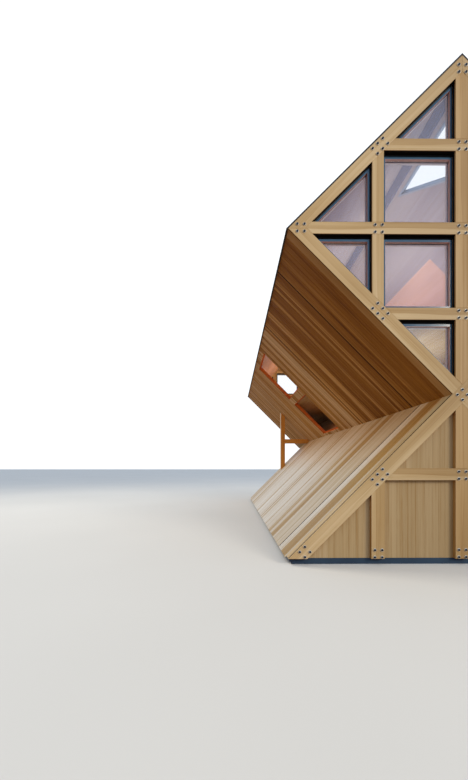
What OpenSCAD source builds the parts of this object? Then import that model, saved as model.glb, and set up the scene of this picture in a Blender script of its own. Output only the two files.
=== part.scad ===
// Timber cabin with an hourglass section: a boarded lower storey shaped like a tent carries a
// longer, diamond shaped upper storey. Both gables are bolted frames of lapped square timbers.
// Millimetres. X runs across the gable, Y from the front gable to the back one, Z up.

/* [Overall shape] */
// Half the width, the same at the eaves and at the base
half_width = 2995; // [2700:5:3400]
// Length of the upper storey from gable face to gable face
upper_length = 13000; // [12200:100:15000]
// Length of the lower storey from the front gable face to the rear wall face
lower_length = 10650; // [10400:50:11400]
// Height of the concrete plinth
plinth_h = 105; // [60:5:300]
// Distance of the plinth inside the foot of the lower roofs
plinth_setback = 70; // [60:5:150]

/* [Timber frame] */
// Width of the diagonals, lower posts and centre posts seen from the front
timber_w = 230; // [200:5:250]
// Width of the rafters and upper side posts seen from the front
rafter_w = 200; // [170:5:240]
// Depth of a frame timber from front to back
timber_d = 200; // [180:5:260]
// Height of a cross beam
beam_h = 205; // [160:5:230]
// Distance of the side posts inside the middle of each half of the gable
grid_inset = 45; // [0:5:110]
// Height of the eaves beam above the corner of the eaves
eaves_lift = 15; // [0:5:40]
// Timber left outside a lap joint at the edge of a rafter or diagonal
lap_cheek = 40; // [20:5:60]

/* [Roofs and walls] */
// Thickness of the roof, underside and lower roof panels
skin_t = 130; // [100:5:160]
// Thickness of the dark roof sheet
sheet_t = 25; // [15:1:40]
// Thickness of the outer boarding at the foot of the lower roofs
boarding_t = 30; // [20:1:40]
// Length by which that boarding runs down past the plinth top
foot_drip = 24; // [10:1:40]
// Side of the square ridge beam
ridge_beam_w = 160; // [120:5:200]

/* [Windows and panels] */
// Distance of the window frames behind the gable face
window_setback = 68; // [50:1:90]
// Depth of a window frame from front to back
window_d = 110; // [90:1:110]
// Width of a window frame seen from the front
window_w = 56; // [40:1:80]
// Width of the dark groove between window frame and timber
groove_w = 12; // [6:1:20]
// Depth of that groove
groove_d = 24; // [12:1:30]
// Thickness of the glass units
glass_t = 28; // [20:1:36]
// Distance of the glass behind the face of its frame
glass_setback = 42; // [30:1:50]
// Overlap of the frame lip over the glass edge
glass_lip = 14; // [8:1:20]
// Height of the dark head piece between a window frame and the beam over it
head_h = 33; // [15:1:50]
// Distance of the boarded panels behind the gable face
panel_setback = 70; // [50:1:90]
// Thickness of the boarded panels
panel_t = 60; // [40:1:80]
// Gap between pieces that are fitted into each other
fit_gap = 0.3; // [0.2:0.1:0.5]

/* [Underside windows] */
// Distance from the front gable face to the near edge of the underside windows
band_start = 5500; // [5000:10:6000]
// Distance from the front gable face to their far edge
band_end = 7320; // [7000:10:8000]
// Distance of the lower window from the waist, along the slope
band_waist_margin = 110; // [60:5:150]
// Distance of the upper window from the eaves, along the slope
band_eaves_margin = 190; // [150:5:350]
// Distance of the strip of underside between the two windows from the waist, along the slope
band_middle = 1930; // [1700:10:2100]
// Width of that strip
band_strip_w = 300; // [220:10:400]
// Width of the frames of the underside windows and of the rooflight
small_frame_w = 36; // [25:1:50]
// Depth of the frames of the underside windows
small_frame_d = 56; // [45:1:70]

/* [Rooflight] */
// Distance of the rooflight from the ridge, down the slope
rooflight_top = 370; // [250:10:500]
// Distance from the front gable face to its near edge
rooflight_start = 420; // [350:10:600]
// Length along the ridge
rooflight_length = 2020; // [1500:10:2300]
// Width down the slope at its near edge
rooflight_drop = 1480; // [1200:10:1700]
// Height of the rooflight frame above the roof sheet
rooflight_rise = 40; // [20:1:80]

/* [Floors] */
// Thickness of the boarded ground floor on the plinth
ground_floor_t = 60; // [40:5:100]
// Thickness of the upper floor, flush with the middle beams
upper_floor_t = 180; // [120:5:240]

/* [Porch frames] */
// Distance of the centre of the porch frames in front of the rear wall face
porch_inset = 600; // [400:10:800]
// Side of the square porch timbers
porch_w = 200; // [140:5:220]

/* [Hidden] */

root2 = sqrt(2);
// All slopes are at 45 degrees, so a timber of width w is w * root2 across, measured level
timber_across = timber_w * root2;
rafter_across = rafter_w * root2;
notch_x = timber_across / 2;
waist_z = half_width - notch_x;
eaves_z = 2 * waist_z;
ridge_z = eaves_z + half_width;
under_z = half_width - timber_across;
half_post = timber_w / 2;
half_upper_post = rafter_w / 2;
half_beam = beam_h / 2;
// Distance of the side posts from the middle, and of the beams from the base and the eaves
grid = half_width / 2 - grid_inset;
low_z = grid;
middle_z = eaves_z - grid;
eaves_beam_z = eaves_z + eaves_lift;
collar_z = eaves_z + grid;
far = 2 * ridge_z;

y_front = -upper_length / 2;
y_back = upper_length / 2;
y_rear = y_front + lower_length;
inside_length = upper_length - 2 * timber_d;
y_porch = y_rear - porch_inset;
slope_length = waist_z * root2;

// Half planes [nx, nz, c] of the right half, where nx * x + nz * z <= c
under_rafter = [1 / root2, 1 / root2, (ridge_z - rafter_across) / root2];
over_diagonal = [1 / root2, -1 / root2, -half_width / root2];
under_lower_diagonal = [1 / root2, 1 / root2, (half_width - timber_across) / root2];
rafter_cheek = [1 / root2, 1 / root2, ridge_z / root2 - lap_cheek];
diagonal_cheek = [1 / root2, -1 / root2, -under_z / root2 - lap_cheek];
lower_diagonal_cheek = [1 / root2, 1 / root2, half_width / root2 - lap_cheek];

// Cells between the timbers of the right half: x from, x to, z from, z to
window_bay_end = grid - half_upper_post;
outer_window_bay = grid + half_upper_post;
panel_bay_end = grid - half_post;
outer_panel_bay = grid + half_post;
cells_under_rafters = [
    [half_post, window_bay_end, collar_z + half_beam, ridge_z],
    [outer_window_bay, half_width, eaves_beam_z + half_beam, ridge_z]
];
cells_under_beams = [
    [half_post, window_bay_end, eaves_beam_z + half_beam, collar_z - half_beam],
    [outer_window_bay, half_width, waist_z, eaves_beam_z - half_beam],
    [half_post, window_bay_end, middle_z + half_beam, eaves_beam_z - half_beam],
    [half_post, window_bay_end, waist_z, middle_z - half_beam]
];
head_cells = [for (cell = cells_under_beams) [cell[0], cell[1], cell[3] - head_h, cell[3]]];
window_cells = concat(cells_under_rafters,
    [for (cell = cells_under_beams) [cell[0], cell[1], cell[2], cell[3] - head_h]]);
panel_cells = [
    [half_post, panel_bay_end, low_z + half_beam, waist_z],
    [half_post, panel_bay_end, 0, low_z - half_beam],
    [outer_panel_bay, half_width, 0, low_z]
];

// Cuts a convex outline by one half plane
function clip(points, plane) =
    let (count = len(points))
    [for (i = [0:count - 1])
        let (
            p = points[i],
            q = points[(i + 1) % count],
            dp = plane[0] * p[0] + plane[1] * p[1] - plane[2],
            dq = plane[0] * q[0] + plane[1] * q[1] - plane[2],
            crosses = dp * dq < 0
        )
        each concat(dp <= 0 ? [p] : [], crosses ? [p + (q - p) * dp / (dp - dq)] : [])];

// Cuts an outline by a list of half planes that are all moved inwards by inset
function clip_all(points, planes, inset, i = 0) =
    i == len(planes)
    ? points
    : clip_all(clip(points, [planes[i][0], planes[i][1], planes[i][2] - inset]), planes, inset, i + 1);

function cell_planes(cell) = [[-1, 0, -cell[0]], [1, 0, cell[1]], [0, -1, -cell[2]], [0, 1, cell[3]]];

function big_square() = [[-far, -far], [far, -far], [far, far], [-far, far]];

// Outline of a window or panel in its cell, smaller by inset on every side
function window_outline(cell, inset) =
    clip_all(big_square(), concat(cell_planes(cell), [under_rafter, over_diagonal]), inset);

function panel_outline(cell, inset) =
    clip_all(big_square(), concat(cell_planes(cell), [under_lower_diagonal]), inset);

// A section drawn in X and Z stands in the gable, from y to y + depth
module section(y, depth) {
    translate([0, y + depth, plinth_h])
        rotate([90, 0, 0])
            linear_extrude(depth)
                children();
}

// The two halves of a lapped timber: first child at the face, second child behind it
module lapped() {
    section(y_front, timber_d / 2)
        children(0);
    section(y_front + timber_d / 2, timber_d / 2)
        children(1);
}

module both_sides() {
    children();
    mirror([1, 0, 0])
        children();
}

module at_back() {
    mirror([0, 1, 0])
        children();
}

module at_rear_wall() {
    translate([0, y_rear - y_back, 0])
        mirror([0, 1, 0])
            children();
}

// Outlines of the timbers, right half
module rafter_2d() {
    polygon([[half_width, eaves_z], [0, ridge_z], [0, ridge_z - rafter_across],
        [half_width - rafter_across, eaves_z]]);
}

module upper_diagonal_2d() {
    polygon([[0, under_z], [half_width, eaves_z], [half_width - timber_across, eaves_z], [0, half_width]]);
}

module lower_diagonal_2d() {
    polygon([[half_width, 0], [notch_x, waist_z], [0, under_z], [half_width - timber_across, 0]]);
}

module rising_2d() {
    polygon([[-half_width, 0], [timber_across - half_width, 0], [half_width, eaves_z],
        [half_width - timber_across, eaves_z]]);
}

module falling_2d() {
    mirror([1, 0])
        rising_2d();
}

module crossing_2d() {
    polygon([[-notch_x, waist_z], [0, under_z], [notch_x, waist_z], [0, half_width]]);
}

module chords_2d() {
    both_sides() {
        rafter_2d();
        upper_diagonal_2d();
        lower_diagonal_2d();
    }
}

module bar_2d(x0, x1, z0, z1, planes) {
    polygon(clip_all([[x0, z0], [x1, z0], [x1, z1], [x0, z1]], planes, 0));
}

module beam_2d(z, reach, planes) {
    both_sides()
        bar_2d(0, reach, z - half_beam, z + half_beam, planes);
}

module low_beam_2d() {
    beam_2d(low_z, grid, [lower_diagonal_cheek]);
}

module middle_beam_2d() {
    beam_2d(middle_z, grid, [diagonal_cheek]);
}

module eaves_beam_2d() {
    beam_2d(eaves_beam_z, half_width, [rafter_cheek, diagonal_cheek]);
}

module collar_beam_2d() {
    beam_2d(collar_z, grid, [rafter_cheek]);
}

module upper_side_post_2d() {
    bar_2d(window_bay_end, outer_window_bay, waist_z, ridge_z, [rafter_cheek, diagonal_cheek]);
}

module lower_side_post_2d() {
    bar_2d(panel_bay_end, outer_panel_bay, 0, waist_z, [lower_diagonal_cheek]);
}

module upper_centre_post_2d() {
    both_sides()
        bar_2d(0, half_post, waist_z, ridge_z, [rafter_cheek, over_diagonal]);
}

module lower_centre_post_2d() {
    both_sides()
        bar_2d(0, half_post, 0, waist_z, [under_lower_diagonal]);
}

module side_posts_2d() {
    both_sides() {
        upper_side_post_2d();
        lower_side_post_2d();
    }
}

module posts_2d() {
    side_posts_2d();
    upper_centre_post_2d();
    lower_centre_post_2d();
}

module beams_2d() {
    low_beam_2d();
    middle_beam_2d();
    eaves_beam_2d();
    collar_beam_2d();
}

// The laps that beams and posts take out of the back half of the rafters and diagonals
module laps_2d() {
    beams_2d();
    side_posts_2d();
    both_sides()
        bar_2d(0, half_post, collar_z, ridge_z, [rafter_cheek]);
}

// A rafter or diagonal is whole at the face and halved behind it for the beams and posts
module chord() {
    lapped() {
        children();
        difference() {
            children();
            laps_2d();
        }
    }
}

// A beam passes in front of the posts and behind the rafters and diagonals
module beam() {
    lapped() {
        difference() {
            children();
            chords_2d();
        }
        difference() {
            children();
            posts_2d();
        }
    }
}

// A post passes behind the beams, rafters and diagonals
module post() {
    lapped() {
        difference() {
            children();
            chords_2d();
            beams_2d();
        }
        children();
    }
}

// A window frame: a wide seat against the timber, a narrower face, and a groove for the glass
module window_frame(cell) {
    y_face = y_front + window_setback;
    difference() {
        union() {
            section(y_face + groove_d, window_d - groove_d)
                polygon(window_outline(cell, fit_gap));
            section(y_face, groove_d)
                polygon(window_outline(cell, groove_w));
        }
        section(y_face - window_d, 3 * window_d)
            polygon(window_outline(cell, window_w));
        section(y_face + glass_setback - fit_gap, glass_t + 2 * fit_gap)
            polygon(window_outline(cell, window_w - glass_lip));
    }
}

module window_glass(cell) {
    section(y_front + window_setback + glass_setback, glass_t)
        polygon(window_outline(cell, window_w - glass_lip + fit_gap));
}

module gable_window_frames() {
    both_sides()
        for (cell = window_cells)
            window_frame(cell);
}

module gable_window_glass() {
    both_sides()
        for (cell = window_cells)
            window_glass(cell);
}

module gable_window_heads() {
    both_sides()
        for (cell = head_cells)
            section(y_front + window_setback, window_d)
                polygon(window_outline(cell, fit_gap));
}

module wall_panels() {
    both_sides()
        for (cell = panel_cells)
            section(y_front + panel_setback, panel_t)
                polygon(panel_outline(cell, fit_gap));
}

// Outlines of the panels behind the gables, right half
module roof_2d(thickness) {
    polygon([[half_width, eaves_z], [0, ridge_z], [0, ridge_z - thickness * root2],
        [half_width - thickness * root2, eaves_z]]);
}

module underside_2d() {
    inner = skin_t / root2;
    polygon([[notch_x, waist_z], [half_width, eaves_z], [half_width - skin_t * root2, eaves_z],
        [notch_x - inner, waist_z + inner]]);
}

module lower_roof_2d() {
    inner = skin_t / root2;
    polygon([[half_width + foot_drip, -foot_drip], [notch_x, waist_z], [notch_x - inner, waist_z - inner],
        [half_width - skin_t * root2, 0], [half_width - boarding_t * root2, 0],
        [half_width + foot_drip - boarding_t * root2, -foot_drip]]);
}

// The right underside laid flat: X up the slope from the waist, Z into the panel from its face
module on_underside() {
    translate([notch_x, y_front, plinth_h + waist_z])
        rotate([0, -45, 0])
            children();
}

// The two holes of the underside: start and end up the slope
band_holes = [
    [band_waist_margin, band_middle - band_strip_w / 2],
    [band_middle + band_strip_w / 2, slope_length - band_eaves_margin]
];

module band_block(hole, inset, z, depth) {
    translate([hole[0] + inset, band_start + inset, z])
        cube([hole[1] - hole[0] - 2 * inset, band_end - band_start - 2 * inset, depth]);
}

module underside() {
    difference() {
        section(y_front + timber_d, inside_length)
            underside_2d();
        on_underside()
            for (hole = band_holes)
                band_block(hole, 0, -skin_t, 3 * skin_t);
    }
}

module band_frames() {
    on_underside()
        for (hole = band_holes)
            difference() {
                band_block(hole, fit_gap, skin_t - small_frame_d, small_frame_d);
                band_block(hole, small_frame_w, 0, 2 * skin_t);
                band_block(hole, small_frame_w - glass_lip, skin_t - glass_t - fit_gap, skin_t);
            }
}

module band_glass() {
    on_underside()
        for (hole = band_holes)
            band_block(hole, small_frame_w - glass_lip + fit_gap, skin_t - glass_t, glass_t);
}

// The right roof laid flat: X down the slope from the ridge, Z out of the roof from the panel face
module on_roof() {
    translate([0, y_front, plinth_h + ridge_z])
        rotate([0, 45, 0])
            children();
}

rooflight_planes = [
    [-1, 0, -rooflight_top],
    [0, -1, -rooflight_start],
    [rooflight_length / norm([rooflight_length, rooflight_drop]),
        rooflight_drop / norm([rooflight_length, rooflight_drop]),
        (rooflight_length * (rooflight_top + rooflight_drop) + rooflight_drop * rooflight_start)
        / norm([rooflight_length, rooflight_drop])]
];

module rooflight_block(inset, z, depth) {
    translate([0, 0, z])
        linear_extrude(depth)
            polygon(clip_all(big_square(), rooflight_planes, inset));
}

module rooflight_hole() {
    on_roof()
        rooflight_block(0, -2 * skin_t, 3 * skin_t);
}

module left_half() {
    mirror([1, 0, 0])
        children();
}

module plinth() {
    color("slategray")
        translate([plinth_setback - half_width, y_front + plinth_setback, 0])
            cube([2 * (half_width - plinth_setback), lower_length - 2 * plinth_setback, plinth_h]);
}

module ground_floor() {
    reach = half_width - skin_t * root2 - fit_gap;
    color("tan")
        section(y_front + timber_d + fit_gap, lower_length - 2 * timber_d - 2 * fit_gap)
            polygon([[-reach, 0], [reach, 0], [reach - ground_floor_t, ground_floor_t],
                [ground_floor_t - reach, ground_floor_t]]);
}

module upper_floor() {
    top = middle_z + half_beam;
    reach = top - under_z - skin_t * root2 - fit_gap;
    color("tan")
        section(y_front + timber_d + fit_gap, inside_length - 2 * fit_gap)
            polygon([[-reach, top], [upper_floor_t - reach, top - upper_floor_t],
                [reach - upper_floor_t, top - upper_floor_t], [reach, top]]);
}

module front_rising_diagonal() {
    color("burlywood")
        lapped() {
            rising_2d();
            difference() {
                rising_2d();
                falling_2d();
                laps_2d();
            }
        }
}

module front_falling_diagonal() {
    color("burlywood")
        lapped() {
            difference() {
                falling_2d();
                rising_2d();
            }
            difference() {
                falling_2d();
                laps_2d();
            }
        }
}

module front_left_rafter() {
    color("burlywood")
        left_half()
            chord()
                rafter_2d();
}

module front_right_rafter() {
    color("burlywood")
        chord()
            rafter_2d();
}

module front_centre_post() {
    color("peru") {
        post()
            upper_centre_post_2d();
        post()
            lower_centre_post_2d();
    }
}

module front_side_posts() {
    color("burlywood")
        both_sides() {
            post()
                upper_side_post_2d();
            post()
                lower_side_post_2d();
        }
}

module upper_cross_beams() {
    beam()
        middle_beam_2d();
    beam()
        eaves_beam_2d();
    beam()
        collar_beam_2d();
}

module front_cross_beams() {
    color("burlywood") {
        beam()
            low_beam_2d();
        upper_cross_beams();
    }
}

module front_window_frames() {
    color("darkslategray")
        gable_window_frames();
}

module front_window_glass() {
    color("lavender")
        gable_window_glass();
}

module front_window_heads() {
    color("black")
        gable_window_heads();
}

module front_panels() {
    color("tan")
        wall_panels();
}

module back_left_rafter() {
    color("burlywood")
        at_back()
            left_half()
                chord()
                    rafter_2d();
}

module back_right_rafter() {
    color("burlywood")
        at_back()
            chord()
                rafter_2d();
}

module back_left_diagonal() {
    color("burlywood")
        at_back()
            left_half()
                chord()
                    upper_diagonal_2d();
}

module back_right_diagonal() {
    color("burlywood")
        at_back()
            chord()
                upper_diagonal_2d();
}

module back_posts() {
    color("burlywood")
        at_back() {
            post()
                upper_centre_post_2d();
            both_sides()
                post()
                    upper_side_post_2d();
        }
}

module back_cross_beams() {
    color("burlywood")
        at_back()
            upper_cross_beams();
}

module back_window_frames() {
    color("darkslategray")
        at_back()
            gable_window_frames();
}

module back_window_glass() {
    color("lavender")
        at_back()
            gable_window_glass();
}

module back_window_heads() {
    color("black")
        at_back()
            gable_window_heads();
}

module rear_wall_left_diagonal() {
    color("burlywood")
        at_rear_wall()
            left_half()
                chord()
                    lower_diagonal_2d();
}

module rear_wall_right_diagonal() {
    color("burlywood")
        at_rear_wall()
            chord()
                lower_diagonal_2d();
}

module rear_wall_posts() {
    color("burlywood")
        at_rear_wall() {
            post()
                lower_centre_post_2d();
            both_sides()
                post()
                    lower_side_post_2d();
        }
}

module rear_wall_beam() {
    color("burlywood")
        at_rear_wall()
            beam()
                low_beam_2d();
}

module rear_wall_panels() {
    color("tan")
        at_rear_wall()
            wall_panels();
}

module waist_beam() {
    color("sienna")
        section(y_front + timber_d, inside_length)
            crossing_2d();
}

module ridge_beam() {
    half = ridge_beam_w / root2;
    top = ridge_z - skin_t * root2;
    color("sienna")
        section(y_front + timber_d, inside_length)
            polygon([[0, top], [half, top - half], [0, top - 2 * half], [-half, top - half]]);
}

module left_roof() {
    color("sienna")
        left_half()
            section(y_front + timber_d, inside_length)
                roof_2d(skin_t);
}

module right_roof() {
    color("sienna")
        difference() {
            section(y_front + timber_d, inside_length)
                roof_2d(skin_t);
            rooflight_hole();
        }
}

module roof_sheet() {
    rise = sheet_t * root2;
    section(y_front, upper_length)
        polygon([[half_width, eaves_z], [half_width + rise, eaves_z], [0, ridge_z + rise], [0, ridge_z]]);
}

module left_roof_sheet() {
    color("dimgray")
        left_half()
            roof_sheet();
}

module right_roof_sheet() {
    color("dimgray")
        difference() {
            roof_sheet();
            rooflight_hole();
        }
}

module left_underside() {
    color("saddlebrown")
        left_half()
            underside();
}

module right_underside() {
    color("saddlebrown")
        underside();
}

module left_lower_roof() {
    color("wheat")
        left_half()
            section(y_front + timber_d, lower_length - 2 * timber_d)
                lower_roof_2d();
}

module right_lower_roof() {
    color("wheat")
        section(y_front + timber_d, lower_length - 2 * timber_d)
            lower_roof_2d();
}

module underside_window_frames() {
    color("sienna")
        both_sides()
            band_frames();
}

module underside_window_glass() {
    color("lavender")
        both_sides()
            band_glass();
}

module rooflight_frame() {
    top = sheet_t + rooflight_rise;
    color("darkslategray")
        on_roof()
            difference() {
                rooflight_block(fit_gap, -skin_t, skin_t + top);
                rooflight_block(small_frame_w, -2 * skin_t, 4 * skin_t);
                rooflight_block(small_frame_w - glass_lip, top - glass_t - fit_gap, skin_t);
            }
}

module rooflight_glass() {
    bottom = sheet_t + rooflight_rise - glass_t;
    color("lavender")
        on_roof()
            rooflight_block(small_frame_w - glass_lip + fit_gap, bottom, glass_t);
}

module porch_posts() {
    inner = grid - porch_w / 2;
    outer = grid + porch_w / 2;
    color("burlywood")
        both_sides()
            section(y_porch - porch_w / 2, porch_w)
                polygon([[inner, half_width - inner], [outer, half_width - outer],
                    [outer, under_z + outer], [inner, under_z + inner]]);
}

module porch_bars() {
    inner = grid - porch_w / 2;
    half = porch_w / 2;
    color("burlywood")
        both_sides()
            section(y_porch - porch_w / 2, porch_w)
                polygon([[notch_x, waist_z], [notch_x + half, waist_z - half],
                    [inner - fit_gap, waist_z - half], [inner - fit_gap, waist_z + half],
                    [notch_x + half, waist_z + half]]);
}

plinth();
ground_floor();
upper_floor();
front_rising_diagonal();
front_falling_diagonal();
front_left_rafter();
front_right_rafter();
front_centre_post();
front_side_posts();
front_cross_beams();
front_window_frames();
front_window_glass();
front_window_heads();
front_panels();
back_left_rafter();
back_right_rafter();
back_left_diagonal();
back_right_diagonal();
back_posts();
back_cross_beams();
back_window_frames();
back_window_glass();
back_window_heads();
rear_wall_left_diagonal();
rear_wall_right_diagonal();
rear_wall_posts();
rear_wall_beam();
rear_wall_panels();
waist_beam();
ridge_beam();
left_roof();
right_roof();
left_roof_sheet();
right_roof_sheet();
left_underside();
right_underside();
left_lower_roof();
right_lower_roof();
underside_window_frames();
underside_window_glass();
rooflight_frame();
rooflight_glass();
porch_posts();
porch_bars();
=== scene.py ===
import math
import random

import bpy
from mathutils import Matrix, Vector


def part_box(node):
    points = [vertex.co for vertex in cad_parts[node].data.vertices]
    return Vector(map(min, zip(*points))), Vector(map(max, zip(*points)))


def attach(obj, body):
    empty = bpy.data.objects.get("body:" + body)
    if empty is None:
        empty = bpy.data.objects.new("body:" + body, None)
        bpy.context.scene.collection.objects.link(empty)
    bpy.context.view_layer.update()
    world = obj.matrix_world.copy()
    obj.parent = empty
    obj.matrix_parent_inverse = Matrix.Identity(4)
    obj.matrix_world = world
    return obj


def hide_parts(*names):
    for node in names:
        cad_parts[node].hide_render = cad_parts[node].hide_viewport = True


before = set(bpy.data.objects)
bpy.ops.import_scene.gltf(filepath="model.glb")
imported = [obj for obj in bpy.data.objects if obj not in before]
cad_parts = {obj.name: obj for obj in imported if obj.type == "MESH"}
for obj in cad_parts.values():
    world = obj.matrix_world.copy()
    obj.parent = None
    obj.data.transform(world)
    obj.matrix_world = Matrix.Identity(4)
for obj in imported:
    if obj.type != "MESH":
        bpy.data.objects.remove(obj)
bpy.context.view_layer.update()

# The gable timbers: square sawn softwood, planed, oiled and halved into each other, with their
# arrises planed off. Each is cut beside the heart, so one half of its face is a little darker. The
# faces are painted paler toward the eaves and darker toward the middle of the gable, a painted
# light, and the faces that look sideways or down, as inside the window openings, take a warmer,
# darker wood, a painted shade.

SLOPE = math.sqrt(0.5)
TIMBER_DEPTH = 0.200
HALF_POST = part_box("front_centre_post")[1].x
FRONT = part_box("front_left_rafter")[0].y
BACK = -FRONT
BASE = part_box("plinth")[1].z
HALF_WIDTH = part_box("front_right_rafter")[1].x
ACROSS = 2 * HALF_POST / SLOPE
NOTCH = ACROSS / 2
WAIST = HALF_WIDTH - NOTCH

UP = (0, math.radians(90), 0)
RISING = (0, math.radians(45), 0)
FALLING = (0, math.radians(-45), 0)
LEVEL = (0, 0, 0)
ALONG = (0, 0, math.radians(-90))
CROSSWISE = {UP: (1, 0, 0), LEVEL: (0, 0, 1), ALONG: (1, 0, 0),
             RISING: (-SLOPE, 0, SLOPE), FALLING: (SLOPE, 0, SLOPE)}


def srgb(red, green, blue):
    """A colour as a picture shows it, in the shader's own scale"""

    def linear(c):
        return ((c / 255 + 0.055) / 1.055) ** 2.4 if c > 10 else c / 3295

    return linear(red), linear(green), linear(blue), 1


def feed(tree, node, inputs):
    """Gives a node its inputs, as values or as other nodes' sockets"""
    for key, value in inputs.items():
        if isinstance(value, bpy.types.NodeSocket):
            tree.links.new(value, node.inputs[key])
        else:
            node.inputs[key].default_value = value


def add_node(tree, kind, inputs=None, **settings):
    """One shader node with its settings and its inputs"""
    made = tree.nodes.new("ShaderNode" + kind)
    for key, value in settings.items():
        setattr(made, key, value)
    feed(tree, made, inputs or {})
    return made


def ramp(tree, value, stops):
    """A colour for each share of value, from (share, colour) pairs"""
    made = add_node(tree, "ValToRGB", {"Fac": value})
    points = made.color_ramp.elements
    while len(points) < len(stops):
        points.new(0.5)
    for point, (share, colour) in zip(points, stops):
        point.position = share
        point.color = tuple(colour[:3]) + (1,)
    return made.outputs["Color"]


def own_place(tree):
    """Where a point lies on its piece, in metres"""
    return add_node(tree, "TexCoord").outputs["Object"]


def part_of(tree, place, axis):
    """One of the three numbers of a place: its X, Y or Z"""
    return add_node(tree, "SeparateXYZ", {0: place}).outputs[axis]


def stretched(tree, place, factors):
    return add_node(tree, "VectorMath", {0: place, 1: factors}, operation="MULTIPLY").outputs[0]


def unsigned(tree, value):
    return add_node(tree, "Math", {0: value}, operation="ABSOLUTE").outputs[0]


def times(tree, a, b):
    return add_node(tree, "Math", {0: a, 1: b}, operation="MULTIPLY").outputs[0]


def plus(tree, a, b):
    return add_node(tree, "Math", {0: a, 1: b}, operation="ADD").outputs[0]


def between(tree, value, low, high, start=0.0, end=1.0):
    """The value's share of the way from low to high, as a number from start to end"""
    inputs = {"Value": value, 1: low, 2: high, 3: start, 4: end}
    return add_node(tree, "MapRange", inputs).outputs[0]


def noise(tree, place, stretch, detail=2.0):
    """Soft noise with its own number of spots to the metre in each direction"""
    inputs = {"Vector": stretched(tree, place, stretch), "Scale": 1.0, "Detail": detail}
    return add_node(tree, "TexNoise", inputs).outputs["Fac"]


def mixed(tree, share, a, b, blend="MIX"):
    inputs = {0: share, 6: a, 7: b}
    return add_node(tree, "Mix", inputs, data_type="RGBA", blend_type=blend).outputs[2]


def tinted(tree, colour, tint):
    return mixed(tree, 1.0, colour, tint, "MULTIPLY")


def surface(name):
    """A new material with its principled shader"""
    material = bpy.data.materials.new(name)
    material.use_nodes = True
    tree = material.node_tree
    return material, tree, tree.nodes["Principled BSDF"]


SOFT_VEINS = [(0.0, (0.82, 0.73, 0.58)), (0.42, (0.98, 0.97, 0.94)), (1.0, (1.05, 1.05, 1.06))]
# Painted light: how much darker near the middle of the gable and paler toward its eaves the wood is
# painted
PAINTED_OUTWARD_LIGHT = [(0.0, (0.82, 0.80, 0.77)), (0.5, (1.00, 1.00, 1.00)), (1.0, (1.13, 1.14, 1.17))]
HEART_SHADE = (0.72, 0.58, 0.42, 1)
KNOT_SHADE = (0.55, 0.36, 0.20, 1)
# How many spots to the metre the wood has, along the grain and across it
BANDS, RINGS, FIBRE = (0.45, 16, 16), (0.14, 42, 42), (5, 210, 210)
DRIFT, WANDER, KNOT_CELLS = (0.35, 2.3, 2.3), (0.5, 0.5, 0.5), (1.3, 4.2, 4.2)
# How far apart in the wood the grain of two boards is, for a tone of 0 and of 1
BOARD_JUMP = (61.0, 37.0, 23.0)
GRAIN_RELIEF = 0.0012


def wood(name, palette, turn, spread="drift", veins=SOFT_VEINS, heart=0.0, knots=0.0,
         rough=0.58, shine=0.3, painted_outward_light=False):
    """Planed softwood with its grain along the X axis after turn, in radians about Y or Z.

    The palette is read by each board's own tone, or by a slow drift along a timber. Where asked,
    the wood is painted paler the further out from the middle of the gable it is, and darker near
    the
    middle: painted light and shade."""
    material, tree, shader = surface(name)
    place = add_node(tree, "Mapping", {"Vector": own_place(tree), "Rotation": turn}).outputs[0]
    if spread == "tone":
        tone = add_node(tree, "Attribute", attribute_name="tone").outputs["Fac"]
        jump = stretched(tree, tone, BOARD_JUMP)
        place = add_node(tree, "VectorMath", {0: place, 1: jump}, operation="ADD").outputs[0]
    else:
        tone = between(tree, noise(tree, place, DRIFT, 1.0), 0.3, 0.7)
    if heart:
        cut = add_node(tree, "Attribute", attribute_name="across").outputs["Fac"]
        cut = plus(tree, cut, between(tree, noise(tree, place, WANDER, 1.0), 0.3, 0.7, -0.3, 0.3))
        tone = plus(tree, tone, between(tree, cut, -0.04, 0.04, heart * 0.5, heart * -0.5))
    base = ramp(tree, tone, palette)
    fibre = noise(tree, place, FIBRE)
    fine = plus(tree, times(tree, noise(tree, place, RINGS), 0.32), times(tree, fibre, 0.16))
    grain = plus(tree, times(tree, noise(tree, place, BANDS, 4.0), 0.52), fine)
    grain = between(tree, grain, 0.36, 0.64)
    colour = tinted(tree, base, ramp(tree, grain, veins))
    if heart:
        line = between(tree, unsigned(tree, cut), 0.0, 0.07, 0.5, 0.0)
        colour = mixed(tree, line, colour, tinted(tree, base, HEART_SHADE))
    if knots:
        point = stretched(tree, place, KNOT_CELLS)
        cell = add_node(tree, "TexVoronoi", {"Vector": point, "Scale": 1.0})
        inputs = {0: cell.outputs["Color"], 1: 1 - knots}
        chosen = add_node(tree, "Math", inputs, operation="GREATER_THAN").outputs[0]
        inside = between(tree, cell.outputs["Distance"], 0.16, 0.05)
        share = times(tree, times(tree, chosen, inside), 0.7)
        colour = mixed(tree, share, colour, tinted(tree, base, KNOT_SHADE))
    # Painted light and shade: paler the further out from the middle of the gable
    if painted_outward_light:
        outward = unsigned(tree, part_of(tree, own_place(tree), "X"))
        colour = tinted(tree, colour, ramp(tree, between(tree, outward, 0.0, HALF_WIDTH), PAINTED_OUTWARD_LIGHT))
    gloss = between(tree, grain, 0.0, 1.0, rough + 0.08, rough - 0.06)
    relief = plus(tree, times(tree, grain, 0.6), times(tree, fibre, 0.4))
    inputs = {"Height": relief, "Strength": 0.35, "Distance": GRAIN_RELIEF}
    bump = add_node(tree, "Bump", inputs).outputs[0]
    feed(tree, shader, {"Base Color": colour, "Roughness": gloss, "Normal": bump,
                        "Specular IOR Level": shine})
    return material


def pick(*pieces):
    """Selects these pieces and nothing else, and makes the first one active"""
    bpy.ops.object.select_all(action="DESELECT")
    for piece in pieces:
        piece.select_set(True)
    if pieces:
        bpy.context.view_layer.objects.active = pieces[0]


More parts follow.
